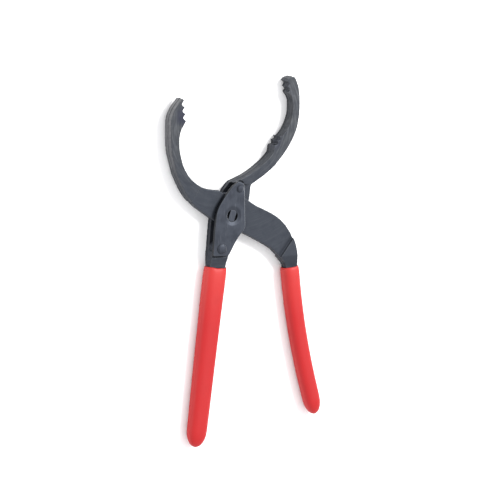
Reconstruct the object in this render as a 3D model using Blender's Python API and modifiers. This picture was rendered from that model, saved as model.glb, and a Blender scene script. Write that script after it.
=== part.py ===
"""Oil filter pliers: two crossed levers, a riveted front plate, a two-seat slip joint and sleeved handles.

The tool lies on its back on the XY plane. The jaws point to +Y, the handles to -Y, and the front plate
faces +Z. The origin is on the pivot's axis, at the underside of the back wall. Sizes are in millimetres
until a mesh is made.
"""

import math

import bmesh
import bpy
from mathutils import Matrix, Vector

MM = 0.001
GAP = 0.3  # between two pieces that touch or run on each other
ARC_STEP = math.radians(6)

# Heights through the joint, from the underside up.
BACK_WALL = 4.8
NECK = (BACK_WALL + GAP, 11.3)
WASHER = (NECK[1] + GAP, 12.3)
SEAT = WASHER[1]  # the frame lever's full thickness, which the plate is riveted down on
PLATE = (SEAT + GAP, 15.8)

# Pivot: a key with two flats, in a slot of two round seats.
KEY_RADIUS = 5.2
KEY_FLATS = 6.6
KEY_SOCKET = 1.5  # the floor of the key's blind socket in the back wall
NOSE_RADIUS = 4.6  # the nose of the key, in the round hole of the plate
NOSE_FLATS = 5.5
SEAT_PITCH = 8.2
SLOT_ANGLE = math.radians(70)  # from +X
SLOT_WAY = Vector((math.cos(SLOT_ANGLE), math.sin(SLOT_ANGLE)))
WASHER_RADIUS = 8.5
DIMPLE_RADIUS = 7.9
DIMPLE_FLOOR = 5.7  # the radius of its flat floor
DIMPLE_DEPTH = 0.8
NOSE_TOP = PLATE[1] - DIMPLE_DEPTH

# Rivets that hold the plate on the frame lever.
UPPER_RIVET = Vector((6.8, 22.0))
LOWER_RIVET = Vector((-10.4, -26.7))
UPPER_SHANK, UPPER_SHOULDER, UPPER_HEAD = 1.9, 3.0, 3.1
LOWER_SHANK, LOWER_HEAD = 2.5, 4.25
HEAD_HEIGHT = 1.2

# The frame lever's pocket, which the moving lever swings in.
POCKET_BOTTOM = -28.5
POCKET_TOP = [(40.0, 35.6), (19.0, 23.8), (-40.0, 33.6)]
BOSS_RADIUS = 5.5
RELIEF_RADIUS = 19.5  # the moving lever is cut back to this, to pass the upper rivet

# The moving lever's thick jaw and shank end at a crease on each side of its neck.
LEFT_JAW = (3.4, 13.4)
RIGHT_SHANK = (1.8, 12.8)
LEFT_CREASE = (Vector((-32.9, 19.2)), Vector((0.567, 0.824)))
RIGHT_CREASE = (Vector((52.3, -31.3)), Vector((0.62, 0.785)))
CREASE_REACH = 110.0
NECK_OVERLAP = 5.0

# Where the right jaw's faces start to draw in towards its tip, and its heights at the tip.
DRAFT_START = 31.0
DRAFT_END = 115.0
DRAFT_TIP = (1.5, 11.2)

# Handles: steel tangs inside dipped sleeves. Each line starts at the sleeve's rim.
TANG = (3.0, 11.4)
LEFT_LINE = [(-11.7, -41.5), (-16.3, -76.0), (-20.9, -111.0), (-25.4, -146.0), (-29.3, -176.6)]
LEFT_TANG = (7.5, 4.6)
LEFT_GRIP = (10.1, 8.7)
LEFT_FLATNESS = 0.7
RIGHT_LINE = [(58.3, -46.5), (61.5, -75.0), (66.0, -103.0), (72.2, -132.0), (78.9, -157.7)]
RIGHT_TANG = (5.6, 4.2)
RIGHT_GRIP = (7.8, 7.2)
RIGHT_FLATNESS = 0.9
GRIP_ROUNDNESS = 2.4  # the power in the section's outline: 2 is an ellipse, more is squarer
GRIP_END = 14.0  # the length of its domed end
TANG_LEAD = 2.0  # how far above the rim a tang's outline starts
TAPER = (11.0, 1.0)  # a shank thins to its tang between these heights above the sleeve's rim
GRIP_MIDDLE = sum(TANG) / 2

# Where cutters start and end: heights under, inside and above the tool, and stretches across its handles.
UNDER = -5.0
INSIDE = 5.0
ABOVE = 20.0
LEFT_ACROSS = (-60.0, 20.0)
RIGHT_ACROSS = (30.0, 100.0)
RIGHT_JAW_ACROSS = (-20.0, 90.0)
BELOW_TIPS = -200.0

STEEL = ((0.075, 0.085, 0.1), 0.5, 0.9)
BRIGHT_STEEL = ((0.35, 0.36, 0.38), 0.35, 1.0)
RED_VINYL = ((0.72, 0.03, 0.025), 0.35, 0.0)


def clear_scene():
    for item in list(bpy.data.objects):
        bpy.data.objects.remove(item)
    made = []
    for name in ("oil_filter_pliers", "cutters"):
        made.append(bpy.data.collections.new(name))
        bpy.context.scene.collection.children.link(made[-1])
    return made


TOOL, CUTTERS = clear_scene()


def material(name, colour, roughness, metallic):
    made = bpy.data.materials.new(name)
    made.use_nodes = True
    shader = made.node_tree.nodes["Principled BSDF"]
    shader.inputs["Base Color"].default_value = (*colour, 1.0)
    shader.inputs["Roughness"].default_value = roughness
    shader.inputs["Metallic"].default_value = metallic
    return made


def through(points, steps=6):
    """A smooth curve through the points, with this many steps from each point to the next."""
    knots = [Vector(p) for p in points]
    knots = [2 * knots[0] - knots[1], *knots, 2 * knots[-1] - knots[-2]]
    curve = []
    for a, b, c, d in zip(knots, knots[1:], knots[2:], knots[3:]):
        for step in range(steps):
            t = step / steps
            bend = (2 * a - 5 * b + 4 * c - d) * t**2
            twist = (3 * b - a - 3 * c + d) * t**3
            curve.append(0.5 * (2 * b + (c - a) * t + bend + twist))
    curve.append(knots[-2])
    return curve


def arc(centre, radius, start, end):
    """Points along an arc from one angle to another, in radians."""
    count = max(2, math.ceil(abs(end - start) / ARC_STEP))
    angles = [start + (end - start) * i / count for i in range(count + 1)]
    return [Vector(centre) + radius * Vector((math.cos(a), math.sin(a))) for a in angles]


def teeth(first, last, count, valley):
    """Tooth tips in a row, with a valley at the same offset after each tip but the last."""
    first, last, valley = Vector(first), Vector(last), Vector(valley)
    points = []
    for i in range(count):
        tip = first.lerp(last, i / (count - 1))
        points += [tip, tip + valley]
    return points[:-1]


def sides(line, widths, grow=0.0):
    """The left and right sides of a tang along a line, for half widths that run from one end to the other."""
    middle = through(line, 4)
    middle[0] += TANG_LEAD * (middle[0] - middle[1]).normalized()
    middle[-1] += grow * (middle[-1] - middle[-2]).normalized()
    left, right = [], []
    for i, point in enumerate(middle):
        way = middle[min(i + 1, len(middle) - 1)] - middle[max(i - 1, 0)]
        across = Vector((way.y, -way.x)).normalized()
        half = widths[0] + (widths[1] - widths[0]) * i / (len(middle) - 1) + grow
        left.append(point + across * half)
        right.append(point - across * half)
    return left, right


def place(made, collection):
    collection.objects.link(made)
    if collection == CUTTERS:
        made.hide_render = True
        made.display_type = "WIRE"


def bake(source, name, collection):
    """Turns an evaluated curve into a welded mesh object of the same name."""
    evaluated = source.evaluated_get(bpy.context.evaluated_depsgraph_get())
    mesh = bpy.data.meshes.new_from_object(evaluated)
    mesh.transform(source.matrix_world)
    bpy.data.objects.remove(source)
    shape = bmesh.new()
    shape.from_mesh(mesh)
    bmesh.ops.remove_doubles(shape, verts=shape.verts, dist=1e-6)
    bmesh.ops.recalc_face_normals(shape, faces=shape.faces)
    shape.to_mesh(mesh)
    shape.free()
    made = bpy.data.objects.new(name, mesh)
    place(made, collection)
    return made


def prism(name, outline, low, high, collection=CUTTERS, standing=False):
    """An outline extruded from low to high. A standing one is drawn in Y and Z and extruded along X."""
    curve = bpy.data.curves.new(name, "CURVE")
    curve.dimensions = "2D"
    curve.fill_mode = "BOTH"
    curve.extrude = (high - low) / 2 * MM
    spline = curve.splines.new("POLY")
    spline.points.add(len(outline) - 1)
    for point, place in zip(spline.points, outline):
        point.co = (place[0] * MM, place[1] * MM, 0.0, 1.0)
    spline.use_cyclic_u = True
    flat = bpy.data.objects.new(name + "_outline", curve)
    bpy.context.scene.collection.objects.link(flat)
    middle = (low + high) / 2 * MM
    if standing:
        turn = Matrix(((0, 0, 1, middle), (1, 0, 0, 0), (0, 1, 0, 0), (0, 0, 0, 1)))
        flat.matrix_world = turn
    else:
        flat.location.z = middle
    bpy.context.view_layer.update()
    return bake(flat, name, collection)


def rod(name, centre, radius, low, high, collection=CUTTERS):
    return prism(name, arc(centre, radius, 0, math.tau)[:-1], low, high, collection)


def cut(piece, *cutters, operation="DIFFERENCE"):
    for cutter in cutters:
        change = piece.modifiers.new(cutter.name, "BOOLEAN")
        change.operation = operation
        change.solver = "EXACT"
        change.object = cutter


def double_flat(radius, flats):
    """A circle with two flats that run along the slot."""
    half = math.asin(flats / 2 / radius)
    upper = arc((0, 0), radius, SLOT_ANGLE - half, SLOT_ANGLE + half)
    return upper + [-point for point in upper]


def crease_ends(crease):
    point, way = crease
    return [point - CREASE_REACH * way, point + CREASE_REACH * way]


def beyond(crease, side):
    """The ground on one side of a crease, with a strip of the neck's side that a deeper cut takes away."""
    way = crease[1]
    out = Vector((-way.y, way.x)) * side
    low, high = (end - NECK_OVERLAP * out for end in crease_ends(crease))
    return [low, high, high + CREASE_REACH * out, low + CREASE_REACH * out]


def thinned(name, across, rim, full):
    """Cutters that bring a shank down to the tang's thickness, just before the sleeve's rim."""
    start, end = (rim + height for height in TAPER)
    cutters = []
    faces = (("_back", full[0] - GAP, TANG[0], UNDER), ("_front", full[1] + GAP, TANG[1], ABOVE))
    for side, level, tang, outside in faces:
        profile = [(start, level), (end, tang), (BELOW_TIPS, tang), (BELOW_TIPS, outside), (start, outside)]
        cutters.append(prism(name + side, profile, *across, standing=True))
    return cutters


def turned(name, profile, centre, collection=TOOL):
    """A profile of (radius, height), from the top down, turned about a vertical axis."""
    mesh = bpy.data.meshes.new(name)
    shape = bmesh.new()
    points = [shape.verts.new((radius * MM, 0, height * MM)) for radius, height in profile]
    for upper, lower in zip(points, points[1:]):
        shape.edges.new((upper, lower))
    shape.to_mesh(mesh)
    shape.free()
    made = bpy.data.objects.new(name, mesh)
    made.location = (centre[0] * MM, centre[1] * MM, 0)
    spin = made.modifiers.new("turn", "SCREW")
    spin.steps = 32
    spin.render_steps = 32
    spin.use_merge_vertices = True
    spin.merge_threshold = 0.00001
    place(made, collection)
    return made


def frame_lever():
    """Right jaw, pocket wall and left handle, forged in one."""
    left, right = sides(LEFT_LINE, LEFT_TANG)
    outline = teeth((53.1, 107.4), (54.7, 98.0), 3, (2.8, -2.45))
    outline += through([(57.6, 94.4), (59.1, 90.0), (58.9, 82.0), (57.2, 74.5), (53.4, 67.3), (48.8, 62.2)])
    outline += teeth((46.2, 62.9), (41.3, 55.5), 3, (1.0, -3.5))
    outline += through([(40.5, 49.3), (33.9, 43.0), (23.6, 36.0), (12.5, 30.6), (3.0, 27.2)])
    outline += through([(-2.8, 20.9), (-9.0, 8.5), (-14.2, -1.8), (-16.0, -16.6), (-17.0, -28.0)])
    outline += left + right[::-1]
    outline += through([(-2.4, -35.5), (-1.2, -31.0), (3.6, -24.2), (10.2, -13.7), (16.7, -1.0), (21.4, 9.5),
                        (23.3, 22.0)])
    outline += through([(30.0, 29.8), (42.5, 38.9), (53.7, 51.1), (61.5, 64.2), (65.3, 77.0), (66.1, 88.0)])
    outline += through([(66.0, 94.0), (65.2, 100.5), (63.6, 106.4), (61.3, 110.5), (58.4, 110.9)])
    outline.append(Vector((54.8, 109.7)))
    lever = prism("right_jaw_lever", outline, 0, SEAT, TOOL)
    start = math.asin((POCKET_BOTTOM - LOWER_RIVET.y) / BOSS_RADIUS)
    boss = arc(LOWER_RIVET, BOSS_RADIUS, math.pi - start, start)
    pocket = [(-40, POCKET_BOTTOM), *boss, (40, POCKET_BOTTOM), *POCKET_TOP]
    draft_back = [(DRAFT_START, 0), (DRAFT_END, DRAFT_TIP[0]), (DRAFT_END, UNDER), (DRAFT_START, UNDER)]
    draft_front = [(DRAFT_START, SEAT), (DRAFT_END, DRAFT_TIP[1]), (DRAFT_END, ABOVE), (DRAFT_START, ABOVE)]
    cut(
        lever,
        prism("pocket", pocket, BACK_WALL, ABOVE),
        prism("jaw_draft_back", draft_back, *RIGHT_JAW_ACROSS, standing=True),
        prism("jaw_draft_front", draft_front, *RIGHT_JAW_ACROSS, standing=True),
        *thinned("left_tang", LEFT_ACROSS, LEFT_LINE[0][1], (0, SEAT)),
        prism("key_socket", double_flat(KEY_RADIUS + GAP, KEY_FLATS + 2 * GAP), KEY_SOCKET, ABOVE),
        rod("upper_hole_back", UPPER_RIVET, UPPER_SHANK + GAP, UNDER, ABOVE),
        rod("lower_hole_back", LOWER_RIVET, LOWER_SHANK + GAP, UNDER, ABOVE),
    )
    return lever


def moving_lever():
    """Left jaw, slotted neck and right handle, forged in one."""
    left, right = sides(RIGHT_LINE, RIGHT_TANG)
    outline = teeth((-44.0, 97.9), (-42.2, 81.0), 4, (-2.4, -3.0))
    outline += through([(-44.2, 77.6), (-46.9, 73.4), (-48.4, 67.5), (-48.6, 60.6), (-47.5, 53.2),
                        (-45.3, 45.0)])
    outline += through([(-43.2, 40.7), (-39.8, 35.4), (-34.9, 30.4), (-28.8, 26.3), (-21.6, 23.3),
                        (-14.7, 21.9)])
    relief = arc((0, 0), RELIEF_RADIUS, math.radians(106), math.radians(58))
    outline += through([(-10.0, 21.3), *relief[::4]], 3)
    outline += through([(17.9, 11.0), (25.3, 6.2), (33.0, 2.5), (41.1, -1.8), (47.6, -6.4), (53.1, -12.0)])
    outline += through([(57.2, -18.0), (60.6, -25.0), (62.7, -32.0), (63.6, -39.0), (63.8, -43.6)])
    outline += right + left[::-1]
    outline += through([(51.6, -43.6), (49.2, -40.4), (45.2, -36.3), (38.0, -30.0), (24.8, -22.5),
                        (9.8, -14.5)])
    outline += through([(-4.0, -9.6), (-17.0, -2.2), (-28.3, 5.5), (-34.1, 10.1), (-43.2, 20.6),
                        (-51.7, 36.7)])
    outline += through([(-56.4, 53.8), (-57.3, 62.0), (-57.5, 72.0), (-56.9, 83.4), (-52.9, 92.2),
                        (-46.0, 100.2)])
    lever = prism("left_jaw_lever", outline, RIGHT_SHANK[0], LEFT_JAW[1], TOOL)
    neck = crease_ends(LEFT_CREASE)[::-1] + crease_ends(RIGHT_CREASE)
    cut(
        lever,
        prism("neck_front", neck, NECK[1], ABOVE),
        prism("neck_back", neck, UNDER, NECK[0]),
        prism("jaw_back", beyond(LEFT_CREASE, 1), UNDER, LEFT_JAW[0]),
        prism("shank_front", beyond(RIGHT_CREASE, -1), RIGHT_SHANK[1], ABOVE),
        *thinned("right_tang", RIGHT_ACROSS, RIGHT_LINE[0][1], RIGHT_SHANK),
        prism("seats", seats(), UNDER, ABOVE),
    )
    return lever


def seats():
    """The slot's outline: two round seats that overlap in a waist as wide as the key's flats."""
    radius = KEY_RADIUS + GAP
    waist = math.acos(SEAT_PITCH / 2 / radius)
    lower = arc((0, 0), radius, SLOT_ANGLE + waist, SLOT_ANGLE + math.tau - waist)
    upper = arc(SLOT_WAY * SEAT_PITCH, radius, SLOT_ANGLE + waist - math.pi, SLOT_ANGLE - waist + math.pi)
    return lower[:-1] + upper[:-1]


def front_plate():
    outline = through([(5.4, 28.0), (-0.1, 24.2), (-4.3, 19.6), (-9.0, 14.0), (-13.0, 8.0), (-15.2, 2.6)])
    outline += through([(-15.9, -4.2), (-16.8, -12.0), (-17.6, -22.0), (-18.4, -31.4)], 2)
    outline += [Vector((-17.8, -32.3)), Vector((-5.6, -32.8))]
    outline += through([(-3.4, -31.9), (-0.9, -27.8), (1.9, -22.9), (5.5, -17.7), (9.8, -13.1),
                        (11.6, -9.0)], 3)
    outline += [Vector((11.6, -7.0)), Vector((11.1, 24.0)), Vector((10.2, 26.2))]
    plate = prism("front_plate", outline, *PLATE, TOOL)
    dish = [(0, ABOVE), (DIMPLE_RADIUS, ABOVE), (DIMPLE_RADIUS, PLATE[1])]
    dish += [(DIMPLE_FLOOR, NOSE_TOP), (0, NOSE_TOP)]
    dimple = turned("dimple", dish, (0, 0), CUTTERS)
    cut(
        plate,
        dimple,
        rod("key_hole_front", (0, 0), NOSE_RADIUS + GAP, INSIDE, ABOVE),
        rod("upper_hole_front", UPPER_RIVET, UPPER_SHANK + GAP, INSIDE, ABOVE),
        rod("lower_hole_front", LOWER_RIVET, LOWER_SHANK + GAP, INSIDE, ABOVE),
    )
    return plate


def pivot_key():
    """The key's body sits in the back wall's socket and the slot, and its nose in the plate's hole."""
    key = prism("pivot_key", double_flat(KEY_RADIUS, KEY_FLATS), KEY_SOCKET + GAP, SEAT, TOOL)
    nose = prism("nose", double_flat(NOSE_RADIUS, NOSE_FLATS), NECK[1], NOSE_TOP)
    cut(key, nose, operation="UNION")
    return key


def pivot_washer():
    washer = rod("pivot_washer", (0, 0), WASHER_RADIUS, *WASHER, TOOL)
    cut(washer, rod("washer_bore", (0, 0), KEY_RADIUS + GAP, INSIDE, ABOVE))
    return washer


def rivet_head(radius):
    """A low domed head on the plate, from its top down."""
    base = PLATE[1] + GAP
    shoulder = (radius * 0.62, base + HEAD_HEIGHT * 0.85)
    return [(0, base + HEAD_HEIGHT), shoulder, (radius, base + 0.25), (radius, base)]


def upper_rivet():
    """Shouldered, so that it keeps the plate off the back wall when it is headed over."""
    low, high = BACK_WALL + GAP, SEAT
    profile = rivet_head(UPPER_HEAD)
    profile += [(UPPER_SHANK, PLATE[1] + GAP), (UPPER_SHANK, high), (UPPER_SHOULDER, high)]
    profile += [(UPPER_SHOULDER, low), (UPPER_SHANK, low), (UPPER_SHANK, GAP), (0, GAP)]
    return turned("upper_rivet", profile, UPPER_RIVET)


def lower_rivet():
    profile = rivet_head(LOWER_HEAD) + [(LOWER_SHANK, PLATE[1] + GAP), (LOWER_SHANK, GAP), (0, GAP)]
    return turned("lower_rivet", profile, LOWER_RIVET)


def sleeve(name, line, widths, flatness, tang_widths):
    """A dipped handle sleeve: a rounded section swept down the handle to a domed end, hollow for the tang."""
    section = bpy.data.curves.new(name + "_section", "CURVE")
    section.dimensions = "2D"
    ring = section.splines.new("POLY")
    ring.points.add(31)
    for i, point in enumerate(ring.points):
        turn = math.tau * i / 32
        x = math.copysign(abs(math.cos(turn)) ** (2 / GRIP_ROUNDNESS), math.cos(turn))
        y = math.copysign(abs(math.sin(turn)) ** (2 / GRIP_ROUNDNESS), math.sin(turn))
        point.co = (x * MM, y * flatness * MM, 0.0, 1.0)
    ring.use_cyclic_u = True
    profile = bpy.data.objects.new(name + "_section", section)
    bpy.context.scene.collection.objects.link(profile)

    middle = through(line, 4)
    count = len(middle) - 1
    stations = [(p, widths[0] + (widths[1] - widths[0]) * i / count) for i, p in enumerate(middle)]
    way = (middle[-1] - middle[-2]).normalized()
    for i in range(1, 7):
        turn = i / 6 * math.radians(87)
        stations.append((middle[-1] + way * GRIP_END * math.sin(turn), widths[1] * math.cos(turn)))
    sweep = bpy.data.curves.new(name + "_sweep", "CURVE")
    sweep.dimensions = "3D"
    sweep.twist_mode = "Z_UP"
    sweep.bevel_mode = "OBJECT"
    sweep.bevel_object = profile
    sweep.use_fill_caps = True
    spline = sweep.splines.new("POLY")
    spline.points.add(len(stations) - 1)
    for point, (place, half) in zip(spline.points, stations):
        point.co = (place.x * MM, place.y * MM, GRIP_MIDDLE * MM, 1.0)
        point.radius = half
    path = bpy.data.objects.new(name + "_sweep", sweep)
    bpy.context.scene.collection.objects.link(path)
    bpy.context.view_layer.update()
    grip = bake(path, name, TOOL)
    bpy.data.objects.remove(profile)
    left, right = sides(line, tang_widths, GAP)
    cut(grip, prism(name + "_hollow", left + right[::-1], TANG[0] - GAP, TANG[1] + GAP))
    return grip


def finish(piece, coat):
    piece.data.materials.append(coat)
    piece.data.shade_smooth()
    piece.data.set_sharp_from_angle(angle=math.radians(35))


black_steel = material("black_oxide_steel", *STEEL)
bright_steel = material("rivet_steel", *BRIGHT_STEEL)
red_vinyl = material("red_vinyl", *RED_VINYL)

finish(frame_lever(), black_steel)
finish(moving_lever(), black_steel)
finish(front_plate(), black_steel)
finish(pivot_key(), bright_steel)
finish(pivot_washer(), bright_steel)
finish(upper_rivet(), bright_steel)
finish(lower_rivet(), bright_steel)
finish(sleeve("left_grip", LEFT_LINE, LEFT_GRIP, LEFT_FLATNESS, LEFT_TANG), red_vinyl)
finish(sleeve("right_grip", RIGHT_LINE, RIGHT_GRIP, RIGHT_FLATNESS, RIGHT_TANG), red_vinyl)
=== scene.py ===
"""Oil filter pliers: two forged levers crossed in a riveted, plated joint, with red dipped sleeves.

The tool lies on its back on a pale floor, jaws towards +Y and front plate facing +Z. Sizes are in metres.
"""

import math

import bmesh
import bpy
from mathutils import Matrix, Vector
from mathutils.bvhtree import BVHTree


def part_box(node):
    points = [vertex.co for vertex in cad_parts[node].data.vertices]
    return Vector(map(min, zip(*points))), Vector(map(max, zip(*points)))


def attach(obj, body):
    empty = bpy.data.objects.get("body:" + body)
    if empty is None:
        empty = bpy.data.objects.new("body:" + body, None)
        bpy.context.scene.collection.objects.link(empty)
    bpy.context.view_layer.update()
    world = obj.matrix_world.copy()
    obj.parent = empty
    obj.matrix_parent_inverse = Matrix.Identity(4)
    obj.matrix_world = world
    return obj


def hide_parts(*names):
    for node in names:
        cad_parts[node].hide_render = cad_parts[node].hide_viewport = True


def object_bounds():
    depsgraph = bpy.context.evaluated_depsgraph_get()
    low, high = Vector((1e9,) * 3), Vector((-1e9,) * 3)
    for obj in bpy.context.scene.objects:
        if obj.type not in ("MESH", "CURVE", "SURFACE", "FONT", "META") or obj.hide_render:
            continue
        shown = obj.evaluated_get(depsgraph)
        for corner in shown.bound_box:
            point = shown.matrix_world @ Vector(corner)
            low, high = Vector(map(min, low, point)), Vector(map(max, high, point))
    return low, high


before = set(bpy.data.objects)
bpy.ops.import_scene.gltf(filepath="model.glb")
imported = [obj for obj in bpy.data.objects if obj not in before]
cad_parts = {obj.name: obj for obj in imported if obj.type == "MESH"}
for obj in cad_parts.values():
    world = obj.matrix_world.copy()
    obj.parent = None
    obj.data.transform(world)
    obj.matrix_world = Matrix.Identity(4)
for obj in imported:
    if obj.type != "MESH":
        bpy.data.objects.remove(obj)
cad_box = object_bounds()
MM = 0.001


# ---------------------------------------------------------------------------------------------------------
# Floor. A wide sheet of matt white card, so far across that its edge never shows from a low camera.
# ---------------------------------------------------------------------------------------------------------

FLOOR_SIDE = 60.0
FLOOR_DROP = 0.05 * MM  # how far the floor lies under the lowest steel
FIBRE = 25 * MM  # breadth of the clouds of fibre in the card
CARD_SHADE = "#F4F4F4"
CARD_WHITE = "#F8F8F7"


def linear(code):
    """A linear colour with alpha, from an sRGB hex code."""
    parts = [int(code[i : i + 2], 16) / 255 for i in (1, 3, 5)]
    return (*[p / 12.92 if p < 0.04045 else ((p + 0.055) / 1.055) ** 2.4 for p in parts], 1.0)


def add(tree, kind, inputs, **settings):
    """Adds a node with its settings. Each input takes a value or another node's output."""
    made = tree.nodes.new(kind)
    for name, value in settings.items():
        setattr(made, name, value)
    for name, value in inputs.items():
        if isinstance(value, bpy.types.NodeSocket):
            tree.links.new(value, made.inputs[name])
        else:
            made.inputs[name].default_value = value
    return made


def fresh(name):
    """A new material's node tree, cleared, and the material."""
    made = bpy.data.materials.new(name)
    made.use_nodes = True
    made.node_tree.nodes.clear()
    return made, made.node_tree


def matt_card():
    """Uncoated white card: a soft white with no gloss, so that the floor takes only a faint shadow."""
    made, tree = fresh("matt_white_card")
    places = add(tree, "ShaderNodeTexCoord", {})
    fibre = add(tree, "ShaderNodeTexNoise", {"Vector": places.outputs["Object"], "Scale": 1 / FIBRE})
    tone = {0: fibre.outputs["Fac"], 6: linear(CARD_SHADE), 7: linear(CARD_WHITE)}
    tint = add(tree, "ShaderNodeMix", tone, data_type="RGBA")
    surface = {"Base Color": tint.outputs[2], "Roughness": 0.9, "Specular IOR Level": 0.1}
    shader = add(tree, "ShaderNodeBsdfPrincipled", surface)
    add(tree, "ShaderNodeOutputMaterial", {"Surface": shader.outputs[0]})
    return made


bpy.ops.object.select_all(action="DESELECT")
bpy.ops.mesh.primitive_plane_add(size=FLOOR_SIDE, location=(0, 0, cad_box[0].z - FLOOR_DROP))
floor = bpy.context.object
floor.name = "floor"
floor.data.materials.append(matt_card())


# ---------------------------------------------------------------------------------------------------------
# Light and camera. A bright white room, one soft light beyond the right jaw and a weak one on the left. The
# camera is a long lens, so far off that the tool is drawn almost without perspective.
# ---------------------------------------------------------------------------------------------------------

CAMERA_TURN = math.radians(30)  # the camera stands this far round to the left of the plate's normal
CAMERA_TIP = math.radians(8)  # and this far towards the jaws
CAMERA_LENS = 1000.0
CAMERA_FIELD = 410 * MM  # the width of the view at the tool
CAMERA_SHIFT = (21.8 * MM, -29.8 * MM)  # from the pivot to the middle of the view, right and up
CAMERA_REACH = 100.0  # nothing beyond this is drawn
ROOM_WHITE = "#FDFDFF"
ROOM_STRENGTH = 1.3
SOFT_LIGHTS = (
    # name, place, side, power
    ("key_light", Vector((1.0, 0.75, 1.6)), 0.7, 52.0),
    ("fill_light", Vector((-1.9, 0.2, 0.6)), 1.0, 9.0),
)

to_right = Vector((math.cos(CAMERA_TURN), 0, math.sin(CAMERA_TURN)))
to_camera = Vector((-math.sin(CAMERA_TURN) * math.cos(CAMERA_TIP), math.sin(CAMERA_TIP), 0))
to_camera.z = math.cos(CAMERA_TURN) * math.cos(CAMERA_TIP)
to_top = to_camera.cross(to_right)

lens = bpy.data.cameras.new("camera")
lens.lens = CAMERA_LENS
lens.clip_end = CAMERA_REACH
camera = bpy.data.objects.new("camera", lens)
bpy.context.scene.collection.objects.link(camera)
bpy.context.scene.camera = camera
aim = to_right * CAMERA_SHIFT[0] + to_top * CAMERA_SHIFT[1]
stand = aim + to_camera * (CAMERA_FIELD * CAMERA_LENS / lens.sensor_width)
turned = Matrix((to_right, to_top, to_camera)).transposed().to_4x4()
camera.matrix_world = Matrix.Translation(stand) @ turned

room = bpy.data.worlds.new("white_room")
room.use_nodes = True
room.node_tree.nodes["Background"].inputs["Color"].default_value = linear(ROOM_WHITE)
room.node_tree.nodes["Background"].inputs["Strength"].default_value = ROOM_STRENGTH
bpy.context.scene.world = room
bpy.context.scene.view_settings.view_transform = "Standard"

for name, place, side, power in SOFT_LIGHTS:
    lamp = bpy.data.lights.new(name, "AREA")
    lamp.size = side
    lamp.energy = power
    holder = bpy.data.objects.new(name, lamp)
    holder.matrix_world = Matrix.Translation(place) @ place.to_track_quat("Z", "Y").to_matrix().to_4x4()
    bpy.context.scene.collection.objects.link(holder)


# ---------------------------------------------------------------------------------------------------------
# Levers. Drop forgings of carbon steel, trimmed at the die's parting line and blackened in hot oxide salts.
# Every edge is rolled over, the sides lean in from the parting line, and a low rib of flash runs round it.
# ---------------------------------------------------------------------------------------------------------

MERGED = 0.002 * MM  # points of the plain solids that lie closer than this become one
FORGED_GRAIN = 0.42 * MM  # spacing of the points on the forged skin
FORGED_ROUNDS = 3  # passes that round the edges over, to about half a millimetre
DRAFT = math.tan(math.radians(3.5))
SIDE_STARTS = 0.6  # the level part of a normal where a face starts to count as a side
SIDE_BLEND = 0.3  # and how much more makes it wholly one
FLASH_HEIGHT = 0.25 * MM
FLASH_HALF = 0.7 * MM  # from the parting line to the middle of the rib's slope
SEAT_MARGIN = 1.2 * MM  # the moat that is left round the plate where its seat is milled into the frame lever
SEAT_DEPTH = 1.3 * MM
FRONT_BAND = 5 * MM  # the moving lever's front lies within this of its highest point
FRONT_TILT = 0.3  # and its normals rise by at least this much
CREASES = (
    # where the moving lever's neck meets a thicker end, the way out to that end, the press's depth and length
    (Vector((52.3, -31.3)) * MM, Vector((0.785, -0.62)), 0.8 * MM, 4.5 * MM),
    (Vector((-32.9, 19.2)) * MM, Vector((-0.824, 0.567)), 0.35 * MM, 2.0 * MM),
)
TEETH_DARKENING = (
    # the middle of each pad's teeth, how far its darker blue-black runs, and how strong it is
    ((-44 * MM, 85 * MM, 13 * MM), 10 * MM, 0.8),
    ((51 * MM, 103 * MM, 9 * MM), 8 * MM, 0.3),
    ((41 * MM, 58 * MM, 10 * MM), 9 * MM, 0.45),
)
CAN_X = 2 * MM  # the middle of the can that the jaws close on, which the draw marks run round
CAN_Y = 75 * MM
MARK_WIDTH = 1.2 * MM
MARK_DEPTH = 1.67 * MM
MARK_TURN = 0.25  # how far a draw mark runs round the can, in radians
BLOTCH = 8.3 * MM
GRIT = 1.61 * MM
HANDLED_FROM = 18 * MM  # the steel pales with handling from this height to the next
HANDLED_TO = 70 * MM
# The moving jaw's outer side is painted lighter and its edge roll darker, as painted light and shade.
OUTER_FROM = -5 * MM  # painted light and shade start this far from the can's middle, and are whole at the next
OUTER_TO = -30 * MM
NECK_BLACK = "#2C3037"
JAW_BLACK = "#36383B"
BLOTCH_BLUE = "#262A32"
MARK_GREY = "#525458"
SIDE_LIGHT_GREY = "#7E7E80"
ROLL_SHADE_BLACK = "#131418"
WORN_GREY = "#7B7D80"
TEETH_BLUE = "#232533"
LEVERS = (
    # node, piece, body, height of the parting line
    ("right_jaw_lever", "frame_lever_forging", "frame_half", 6.1 * MM),
    ("left_jaw_lever", "moving_lever_forging", "moving_half", 8.2 * MM),
)


def copied(node, name):
    """A copy of a CAD node's mesh as a new piece, with its loose triangles merged, and active."""
    bpy.ops.object.select_all(action="DESELECT")
    piece = bpy.data.objects.new(name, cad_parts[node].data.copy())
    piece.data.materials.clear()
    bpy.context.scene.collection.objects.link(piece)
    bpy.context.view_layer.objects.active = piece
    piece.select_set(True)
    bpy.ops.object.mode_set(mode="EDIT")
    bpy.ops.mesh.select_all(action="SELECT")
    bpy.ops.mesh.remove_doubles(threshold=MERGED)
    bpy.ops.object.mode_set(mode="OBJECT")
    return piece


def reskinned(piece, grain, rounds):
    """Gives a piece an even skin of this grain and rounds its edges over."""
    skin = piece.modifiers.new("skin", "REMESH")
    skin.mode = "VOXEL"
    skin.voxel_size = grain
    skin.use_smooth_shade = True
    bpy.ops.object.modifier_apply(modifier=skin.name)
    softened = piece.modifiers.new("softened", "SMOOTH")
    softened.factor = 0.5
    softened.iterations = rounds
    bpy.ops.object.modifier_apply(modifier=softened.name)
    bpy.ops.object.shade_smooth()


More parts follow.
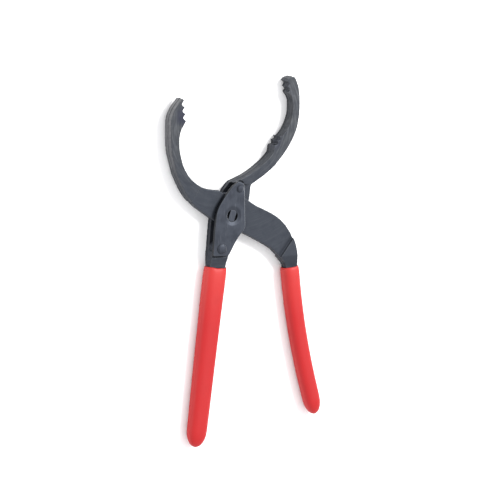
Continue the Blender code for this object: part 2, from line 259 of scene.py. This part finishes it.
def drafted(piece, parting):
    """Leans the sides in from the parting line, and leaves the flash standing on it as a low rib."""
    shape = bmesh.new()
    shape.from_mesh(piece.data)
    shape.normal_update()
    for point in shape.verts:
        level = Vector((point.normal.x, point.normal.y, 0))
        upright = min(1.0, max(0.0, (level.length - SIDE_STARTS) / SIDE_BLEND))
        if upright == 0:
            continue
        away = abs(point.co.z - parting)
        off_flash = min(1.0, max(0.0, away / FLASH_HALF - 0.5))
        point.co -= level.normalized() * upright * (DRAFT * away + FLASH_HEIGHT * off_flash)
    shape.to_mesh(piece.data)
    shape.free()


def seated(piece):
    """Mills the front plate's seat into a piece, a little wider than the plate."""
    cutter = copied("front_plate", "seat_cutter")
    bpy.ops.object.mode_set(mode="EDIT")
    bpy.ops.mesh.select_all(action="SELECT")
    bpy.ops.mesh.convex_hull()
    bpy.ops.object.mode_set(mode="OBJECT")
    low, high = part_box("front_plate")
    middle, size = (low + high) / 2, high - low
    middle.z = low.z
    grown = Matrix.Diagonal((1 + 2 * SEAT_MARGIN / size.x, 1 + 2 * SEAT_MARGIN / size.y, 1, 1))
    sunk = Matrix.Translation((0, 0, -SEAT_DEPTH))
    cutter.data.transform(sunk @ Matrix.Translation(middle) @ grown @ Matrix.Translation(-middle))
    bpy.ops.object.select_all(action="DESELECT")
    bpy.context.view_layer.objects.active = piece
    piece.select_set(True)
    milled = piece.modifiers.new("milled", "BOOLEAN")
    milled.object = cutter
    bpy.ops.object.modifier_apply(modifier=milled.name)
    bpy.data.objects.remove(cutter)


def creased(piece):
    """Presses a crease before each thicker end: a slow fall from the neck and a sharp rise to the end."""
    shape = bmesh.new()
    shape.from_mesh(piece.data)
    shape.normal_update()
    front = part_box("left_jaw_lever")[1].z - FRONT_BAND
    on_front = [point for point in shape.verts if point.normal.z > FRONT_TILT and point.co.z > front]
    for place, out, depth, length in CREASES:
        for point in on_front:
            run = (point.co.xy - place).dot(out)
            if -length < run < 0:
                point.co.z -= depth * (1 + run / length) ** 2
    shape.to_mesh(piece.data)
    shape.free()


def forged_steel():
    """Hot-blackened forged steel: a blue-grey satin skin with draw marks that run round the jaws, blotches of
    blue scale, painted light on the moving jaw's outer side with painted shade in its edge roll, and teeth
    painted a darker blue-black."""
    made, tree = fresh("black_oxide_forged_steel")
    places = add(tree, "ShaderNodeTexCoord", {}).outputs["Object"]
    centred = {"Vector": places, "Location": (-CAN_X, -CAN_Y, 0)}
    from_can = add(tree, "ShaderNodeMapping", centred).outputs["Vector"]
    parts = add(tree, "ShaderNodeSeparateXYZ", {0: from_can})
    flat = add(tree, "ShaderNodeCombineXYZ", {0: parts.outputs["X"], 1: parts.outputs["Y"]})
    radius = add(tree, "ShaderNodeVectorMath", {0: flat.outputs[0]}, operation="LENGTH")
    back = add(tree, "ShaderNodeMath", {0: parts.outputs["Y"], 1: -1.0}, operation="MULTIPLY")
    angle = add(tree, "ShaderNodeMath", {0: parts.outputs["X"], 1: back.outputs[0]}, operation="ARCTAN2")
    # Draw marks about 15 mm long, drawn wider than the real ones so that they show.
    across = {0: radius.outputs["Value"], 1: 1 / MARK_WIDTH}
    across = add(tree, "ShaderNodeMath", across, operation="MULTIPLY")
    along = add(tree, "ShaderNodeMath", {0: angle.outputs[0], 1: 1 / MARK_TURN}, operation="MULTIPLY")
    deep = add(tree, "ShaderNodeMath", {0: parts.outputs["Z"], 1: 1 / MARK_DEPTH}, operation="MULTIPLY")
    drawn = {0: across.outputs[0], 1: along.outputs[0], 2: deep.outputs[0]}
    drawn_at = add(tree, "ShaderNodeCombineXYZ", drawn).outputs[0]
    marks = {"Vector": drawn_at, "Scale": 1.0, "Detail": 3.0, "Roughness": 0.6}
    marks = add(tree, "ShaderNodeTexNoise", marks)
    # Blotches of scale, and a grit that is drawn coarser than the real one.
    blotches = {"Vector": places, "Scale": 1 / BLOTCH, "Detail": 5.0, "Roughness": 0.62, "Distortion": 0.6}
    blotches = add(tree, "ShaderNodeTexNoise", blotches)
    grit = {"Vector": places, "Scale": 1 / GRIT, "Detail": 3.0, "Roughness": 0.6}
    grit = add(tree, "ShaderNodeTexNoise", grit)
    # The jaws are handled most, and are paler for it, while the blotches stay dark.
    height = add(tree, "ShaderNodeSeparateXYZ", {0: places}).outputs["Y"]
    handled = {"Value": height, "From Min": HANDLED_FROM, "From Max": HANDLED_TO}
    handled = add(tree, "ShaderNodeMapRange", handled).outputs["Result"]
    skin = {0: handled, 6: linear(NECK_BLACK), 7: linear(JAW_BLACK)}
    skin = add(tree, "ShaderNodeMix", skin, data_type="RGBA").outputs[2]
    dull = {"Value": blotches.outputs["Fac"], "From Min": 0.42, "From Max": 0.66, "To Max": 0.6}
    dull = add(tree, "ShaderNodeMapRange", dull).outputs["Result"]
    skin = {0: dull, 6: skin, 7: linear(BLOTCH_BLUE)}
    skin = add(tree, "ShaderNodeMix", skin, data_type="RGBA").outputs[2]
    # The draw marks' ridges are rubbed, hardly at the neck and most on the jaws.
    pale = {"Value": marks.outputs["Fac"], "From Min": 0.47, "From Max": 0.64, "To Max": 0.55}
    pale = add(tree, "ShaderNodeMapRange", pale).outputs["Result"]
    on_jaws = add(tree, "ShaderNodeMath", {0: handled, 1: 0.85}, operation="MULTIPLY")
    on_jaws = add(tree, "ShaderNodeMath", {0: on_jaws.outputs[0], 1: 0.15}, operation="ADD")
    pale = add(tree, "ShaderNodeMath", {0: pale, 1: on_jaws.outputs[0]}, operation="MULTIPLY").outputs[0]
    skin = {0: pale, 6: skin, 7: linear(MARK_GREY)}
    skin = add(tree, "ShaderNodeMix", skin, data_type="RGBA").outputs[2]
    # Painted light: the moving jaw's outer sides are painted paler, as if the light from the left fell on
    # them.
    facing = add(tree, "ShaderNodeNewGeometry", {})
    rise = add(tree, "ShaderNodeSeparateXYZ", {0: facing.outputs["Normal"]}).outputs["Z"]
    side = {"Value": rise, "From Min": 0.55, "From Max": 0.25, "To Max": 0.75}
    side = add(tree, "ShaderNodeMapRange", side).outputs["Result"]
    outer = {"Value": parts.outputs["X"], "From Min": OUTER_FROM, "From Max": OUTER_TO}
    outer = add(tree, "ShaderNodeMapRange", outer).outputs["Result"]
    outer = add(tree, "ShaderNodeMath", {0: outer, 1: handled}, operation="MULTIPLY").outputs[0]
    side = add(tree, "ShaderNodeMath", {0: side, 1: outer}, operation="MULTIPLY").outputs[0]
    side = add(tree, "ShaderNodeMath", {0: side, 1: grit.outputs["Fac"]}, operation="MULTIPLY").outputs[0]
    skin = {0: side, 6: skin, 7: linear(SIDE_LIGHT_GREY)}
    skin = add(tree, "ShaderNodeMix", skin, data_type="RGBA").outputs[2]
    # Painted shade: a dark band in the roll of the edge between the moving jaw's outer side and its front.
    roll = add(tree, "ShaderNodeMath", {0: rise, 1: 0.6, 2: 0.35}, operation="COMPARE").outputs[0]
    roll = add(tree, "ShaderNodeMath", {0: roll, 1: outer}, operation="MULTIPLY").outputs[0]
    roll = add(tree, "ShaderNodeMath", {0: roll, 1: 0.8}, operation="MULTIPLY").outputs[0]
    skin = {0: roll, 6: skin, 7: linear(ROLL_SHADE_BLACK)}
    skin = add(tree, "ShaderNodeMix", skin, data_type="RGBA").outputs[2]
    # Raised edges are worn to grey.
    worn = {"Value": facing.outputs["Pointiness"], "From Min": 0.52, "From Max": 0.58, "To Max": 0.5}
    worn = add(tree, "ShaderNodeMapRange", worn).outputs["Result"]
    worn = add(tree, "ShaderNodeMath", {0: worn, 1: grit.outputs["Fac"]}, operation="MULTIPLY").outputs[0]
    skin = {0: worn, 6: skin, 7: linear(WORN_GREY)}
    skin = add(tree, "ShaderNodeMix", skin, data_type="RGBA").outputs[2]
    # The teeth are painted a darker blue-black, fading out from each pad's middle.
    for place, reach, strength in TEETH_DARKENING:
        far = add(tree, "ShaderNodeVectorMath", {0: places, 1: place}, operation="DISTANCE").outputs["Value"]
        teeth_dark = {"Value": far, "From Min": reach, "From Max": reach * 0.5, "To Max": strength}
        teeth_dark = add(tree, "ShaderNodeMapRange", teeth_dark).outputs["Result"]
        skin = {0: teeth_dark, 6: skin, 7: linear(TEETH_BLUE)}
        skin = add(tree, "ShaderNodeMix", skin, data_type="RGBA").outputs[2]
    rough = {"Value": blotches.outputs["Fac"], "From Min": 0.3, "From Max": 0.7}
    rough["To Min"] = 0.44
    rough["To Max"] = 0.64
    rough = add(tree, "ShaderNodeMapRange", rough).outputs["Result"]
    cut = add(tree, "ShaderNodeMath", {0: marks.outputs["Fac"], 1: on_jaws.outputs[0]}, operation="MULTIPLY")
    low = add(tree, "ShaderNodeBump", {"Height": cut.outputs[0], "Strength": 0.6, "Distance": 0.18 * MM})
    fine = {"Height": grit.outputs["Fac"], "Normal": low.outputs[0], "Strength": 0.6, "Distance": 0.1 * MM}
    fine = add(tree, "ShaderNodeBump", fine)
    surface = {"Base Color": skin, "Metallic": 0.6, "Roughness": rough, "Normal": fine.outputs[0]}
    surface["Specular IOR Level"] = 0.35
    shader = add(tree, "ShaderNodeBsdfPrincipled", surface)
    add(tree, "ShaderNodeOutputMaterial", {"Surface": shader.outputs[0]})
    return made


black_forging = forged_steel()
for node, name, body, parting in LEVERS:
    lever = copied(node, name)
    if node == "right_jaw_lever":
        seated(lever)
    reskinned(lever, FORGED_GRAIN, FORGED_ROUNDS)
    drafted(lever, parting)
    if node == "left_jaw_lever":
        creased(lever)
    lever.data.materials.append(black_forging)
    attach(lever, body)
    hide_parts(node)


# ---------------------------------------------------------------------------------------------------------
# Front plate. Blanked from 3 mm steel strip, so that its face rolls over at the rim, with a round dimple
# pressed at the pivot, and blackened with the levers.
# ---------------------------------------------------------------------------------------------------------

PLATE_GRAIN = 0.34 * MM
PLATE_ROUNDS = 6
PLATE_HIGHLIGHT = 0.85  # how bright the painted highlight on the plate's right-hand rim is
CLOUD = 10.5 * MM  # breadth of the clouds in the oxide
SCUFF_WIDTH = 1 * MM
SCUFF_LENGTH = 10 * MM
SCUFF_DEPTH = 2.5 * MM
SCUFF_TURN = 0.5  # the scuffs' slant, in radians
STRIP_BLUE = "#33373F"
CLOUD_BLUE = "#272B33"
SCUFF_GREY = "#4A4D54"
ROUNDED_GREY = "#6C6F74"
SIDE_SHADE_BLACK = "#15171B"
HIGHLIGHT_SILVER = "#B9BBBE"


def blanked_steel(name, highlight):
    """Blackened bar or strip: an even blue-grey, smoother than the forgings, with fine scuffs, painted shade
    on its sides, and a painted highlight of this strength on its right-hand rims."""
    made, tree = fresh(name)
    places = add(tree, "ShaderNodeTexCoord", {}).outputs["Object"]
    cloud = {"Vector": places, "Scale": 1 / CLOUD, "Detail": 4.0, "Roughness": 0.6}
    cloud = add(tree, "ShaderNodeTexNoise", cloud)
    # The scuffs are drawn wider than real ones, so that they show.
    slanted = {"Vector": places, "Rotation": (0, 0, SCUFF_TURN)}
    slanted["Scale"] = (1 / SCUFF_WIDTH, 1 / SCUFF_LENGTH, 1 / SCUFF_DEPTH)
    slanted = add(tree, "ShaderNodeMapping", slanted).outputs["Vector"]
    scuffs = {"Vector": slanted, "Scale": 1.0, "Detail": 3.0, "Roughness": 0.55}
    scuffs = add(tree, "ShaderNodeTexNoise", scuffs)
    tone = {"Value": cloud.outputs["Fac"], "From Min": 0.35, "From Max": 0.65}
    tone = add(tree, "ShaderNodeMapRange", tone).outputs["Result"]
    skin = {0: tone, 6: linear(STRIP_BLUE), 7: linear(CLOUD_BLUE)}
    skin = add(tree, "ShaderNodeMix", skin, data_type="RGBA").outputs[2]
    pale = {"Value": scuffs.outputs["Fac"], "From Min": 0.56, "From Max": 0.75, "To Max": 0.5}
    pale = add(tree, "ShaderNodeMapRange", pale).outputs["Result"]
    skin = {0: pale, 6: skin, 7: linear(SCUFF_GREY)}
    skin = add(tree, "ShaderNodeMix", skin, data_type="RGBA").outputs[2]
    # The face's rounded edges are worn to grey.
    here = add(tree, "ShaderNodeNewGeometry", {})
    worn = {"Value": here.outputs["Pointiness"], "From Min": 0.51, "From Max": 0.56, "To Max": 0.3}
    worn = add(tree, "ShaderNodeMapRange", worn).outputs["Result"]
    skin = {0: worn, 6: skin, 7: linear(ROUNDED_GREY)}
    skin = add(tree, "ShaderNodeMix", skin, data_type="RGBA").outputs[2]
    # Painted shade darkens the sides, and a painted highlight lies on the roll of the right-hand rim.
    facing = add(tree, "ShaderNodeSeparateXYZ", {0: here.outputs["Normal"]})
    side_shade = {"Value": facing.outputs["Z"], "From Min": 0.7, "From Max": 0.4, "To Max": 0.8}
    side_shade = add(tree, "ShaderNodeMapRange", side_shade).outputs["Result"]
    skin = {0: side_shade, 6: skin, 7: linear(SIDE_SHADE_BLACK)}
    skin = add(tree, "ShaderNodeMix", skin, data_type="RGBA").outputs[2]
    rim_highlight = {"Value": facing.outputs["X"], "From Min": 0.35, "From Max": 0.6, "To Max": highlight}
    rim_highlight = add(tree, "ShaderNodeMapRange", rim_highlight).outputs["Result"]
    rolled = {"Value": facing.outputs["Z"], "From Min": 0.25, "From Max": 0.5}
    rolled = add(tree, "ShaderNodeMapRange", rolled).outputs["Result"]
    rim_highlight = add(tree, "ShaderNodeMath", {0: rim_highlight, 1: rolled}, operation="MULTIPLY").outputs[0]
    skin = {0: rim_highlight, 6: skin, 7: linear(HIGHLIGHT_SILVER)}
    skin = add(tree, "ShaderNodeMix", skin, data_type="RGBA").outputs[2]
    rough = {"Value": cloud.outputs["Fac"], "From Min": 0.3, "From Max": 0.7, "To Min": 0.46, "To Max": 0.6}
    rough = add(tree, "ShaderNodeMapRange", rough).outputs["Result"]
    bump = {"Height": scuffs.outputs["Fac"], "Strength": 0.4, "Distance": 0.05 * MM}
    bump = add(tree, "ShaderNodeBump", bump)
    surface = {"Base Color": skin, "Metallic": 0.6, "Roughness": rough, "Normal": bump.outputs[0]}
    surface["Specular IOR Level"] = 0.35
    shader = add(tree, "ShaderNodeBsdfPrincipled", surface)
    add(tree, "ShaderNodeOutputMaterial", {"Surface": shader.outputs[0]})
    return made


black_strip = blanked_steel("black_oxide_strip_steel", PLATE_HIGHLIGHT)
plate = copied("front_plate", "front_plate_blank")
reskinned(plate, PLATE_GRAIN, PLATE_ROUNDS)
plate.data.materials.append(black_strip)
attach(plate, "frame_half")
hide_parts("front_plate")


# ---------------------------------------------------------------------------------------------------------
# Pivot and rivets. Turned and headed pins of blackened steel: the key with its two flats, the washer on it,
# and the two rivets that hold the plate down.
# ---------------------------------------------------------------------------------------------------------

PIN_GRAIN = 0.22 * MM
PIN_ROUNDS = 5
# the pins' right-hand rims take a faint painted highlight
PIN_HIGHLIGHT = 0.2
NOSE_FIT = 1.055  # the key's nose fills its hole in the plate, but for the two flats
PINS = (
    # node, piece, body, slot
    ("pivot_key", "pivot_key_pin", "frame_half", "pivot_steel"),
    ("pivot_washer", "pivot_washer_ring", "pivot_turn", "pivot_steel"),
    ("upper_rivet", "upper_rivet_pin", "frame_half", "rivet_steel"),
    ("lower_rivet", "lower_rivet_pin", "frame_half", "rivet_steel"),
)

black_bar = blanked_steel("black_oxide_bar_steel", PIN_HIGHLIGHT)
nose_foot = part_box("pivot_washer")[1].z
for node, name, body, slot in PINS:
    pin = copied(node, name)
    if node == "pivot_key":
        for point in pin.data.vertices:
            if point.co.z > nose_foot:
                point.co.xy *= NOSE_FIT
    reskinned(pin, PIN_GRAIN, PIN_ROUNDS)
    pin.data.materials.append(black_bar)
    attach(pin, body)
    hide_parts(node)


# ---------------------------------------------------------------------------------------------------------
# Handle sleeves. Soft red vinyl that the handles are dipped in while hot: a smooth thick skin with a rounded
# end, and a thin rim where it stops on the steel.
# ---------------------------------------------------------------------------------------------------------

WALL = 2.0 * MM
RIM_DEPTH = 3.0 * MM  # the faces that close a sleeve's top lie within this of it
RIM_TILT = 0.9  # and their normals point this much towards the jaws
RAY_START = 0.01 * MM  # a ray starts this far off its own face
QUAD_BEND = 0.7  # two triangles that bend less than this, in radians, make one quad
QUAD_SKEW = 3.0  # and its corners may be this far out of square
SKIN_LEVELS = 2
PALER_FROM = -88 * MM  # painted light: the vinyl is painted paler from this height up to the next
PALER_TO = -44 * MM
VINYL_CLOUD = 16.7 * MM
RIPPLE_WIDTH = 6.25 * MM
RIPPLE_LENGTH = 33 * MM
PEEL = 1.11 * MM
LOWER_RED = "#9E1214"
LIT_RED = "#A82623"
GRIME_RED = "#8E1012"
SLEEVES = (
    # node, piece, body
    ("left_grip", "left_grip_sleeve", "frame_half"),
    ("right_grip", "right_grip_sleeve", "moving_half"),
)


def dipped_vinyl():
    """Dip-moulded soft vinyl: a strong red, satin rather than glossy, with a faint ripple from draining."""
    made, tree = fresh("dipped_red_vinyl")
    places = add(tree, "ShaderNodeTexCoord", {}).outputs["Object"]
    height = add(tree, "ShaderNodeSeparateXYZ", {0: places}).outputs["Y"]
    # Painted light: the skin is painted palest at the rim, where more light falls.
    paled = {"Value": height, "From Min": PALER_FROM, "From Max": PALER_TO}
    paled = add(tree, "ShaderNodeMapRange", paled).outputs["Result"]
    skin = {0: paled, 6: linear(LOWER_RED), 7: linear(LIT_RED)}
    skin = add(tree, "ShaderNodeMix", skin, data_type="RGBA").outputs[2]
    cloud = add(tree, "ShaderNodeTexNoise", {"Vector": places, "Scale": 1 / VINYL_CLOUD, "Detail": 3.0})
    grime = {"Value": cloud.outputs["Fac"], "From Min": 0.5, "From Max": 0.75, "To Max": 0.25}
    grime = add(tree, "ShaderNodeMapRange", grime).outputs["Result"]
    skin = {0: grime, 6: skin, 7: linear(GRIME_RED)}
    skin = add(tree, "ShaderNodeMix", skin, data_type="RGBA").outputs[2]
    rough = {"Value": cloud.outputs["Fac"], "From Min": 0.3, "From Max": 0.7, "To Min": 0.42, "To Max": 0.55}
    rough = add(tree, "ShaderNodeMapRange", rough).outputs["Result"]
    drain = {"Vector": places, "Scale": (1 / RIPPLE_WIDTH, 1 / RIPPLE_LENGTH, 1 / RIPPLE_WIDTH)}
    drain = add(tree, "ShaderNodeMapping", drain).outputs["Vector"]
    ripple = add(tree, "ShaderNodeTexNoise", {"Vector": drain, "Scale": 1.0, "Detail": 2.0})
    # The skin's peel is drawn coarser than the real one.
    peel = add(tree, "ShaderNodeTexNoise", {"Vector": places, "Scale": 1 / PEEL, "Detail": 2.0})
    low = {"Height": ripple.outputs["Fac"], "Strength": 0.35, "Distance": 0.3 * MM}
    low = add(tree, "ShaderNodeBump", low)
    fine = {"Height": peel.outputs["Fac"], "Normal": low.outputs[0], "Strength": 0.3, "Distance": 0.03 * MM}
    fine = add(tree, "ShaderNodeBump", fine)
    surface = {"Base Color": skin, "Roughness": rough, "IOR": 1.53, "Normal": fine.outputs[0]}
    surface["Specular IOR Level"] = 0.28
    surface["Subsurface Weight"] = 0.06
    surface["Subsurface Radius"] = (1.5 * MM, 0.4 * MM, 0.3 * MM)
    surface["Subsurface Scale"] = 1.0
    shader = add(tree, "ShaderNodeBsdfPrincipled", surface)
    add(tree, "ShaderNodeOutputMaterial", {"Surface": shader.outputs[0]})
    return made


def skinned(piece):
    """Strips a sleeve to its outer skin and gives that an even wall with a soft rim."""
    shape = bmesh.new()
    shape.from_mesh(piece.data)
    shape.normal_update()
    rays = BVHTree.FromBMesh(shape)
    top = max(point.co.y for point in shape.verts)
    inner = []
    for face in shape.faces:
        middle = face.calc_center_median()
        on_rim = face.normal.y > RIM_TILT and middle.y > top - RIM_DEPTH
        if on_rim or rays.ray_cast(middle + face.normal * RAY_START, face.normal)[0]:
            inner.append(face)
    bmesh.ops.delete(shape, geom=inner, context="FACES")
    shape.to_mesh(piece.data)
    shape.free()
    bpy.ops.object.mode_set(mode="EDIT")
    bpy.ops.mesh.select_all(action="SELECT")
    bpy.ops.mesh.tris_convert_to_quads(face_threshold=QUAD_BEND, shape_threshold=QUAD_SKEW)
    bpy.ops.object.mode_set(mode="OBJECT")
    wall = piece.modifiers.new("wall", "SOLIDIFY")
    wall.thickness = WALL
    wall.offset = -1.0
    bpy.ops.object.modifier_apply(modifier=wall.name)
    smoother = piece.modifiers.new("smoother", "SUBSURF")
    smoother.levels = SKIN_LEVELS
    smoother.render_levels = SKIN_LEVELS
    bpy.ops.object.modifier_apply(modifier=smoother.name)
    bpy.ops.object.shade_smooth()


red_vinyl = dipped_vinyl()
for node, name, body in SLEEVES:
    sleeve = copied(node, name)
    skinned(sleeve)
    sleeve.data.materials.append(red_vinyl)
    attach(sleeve, body)
    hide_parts(node)
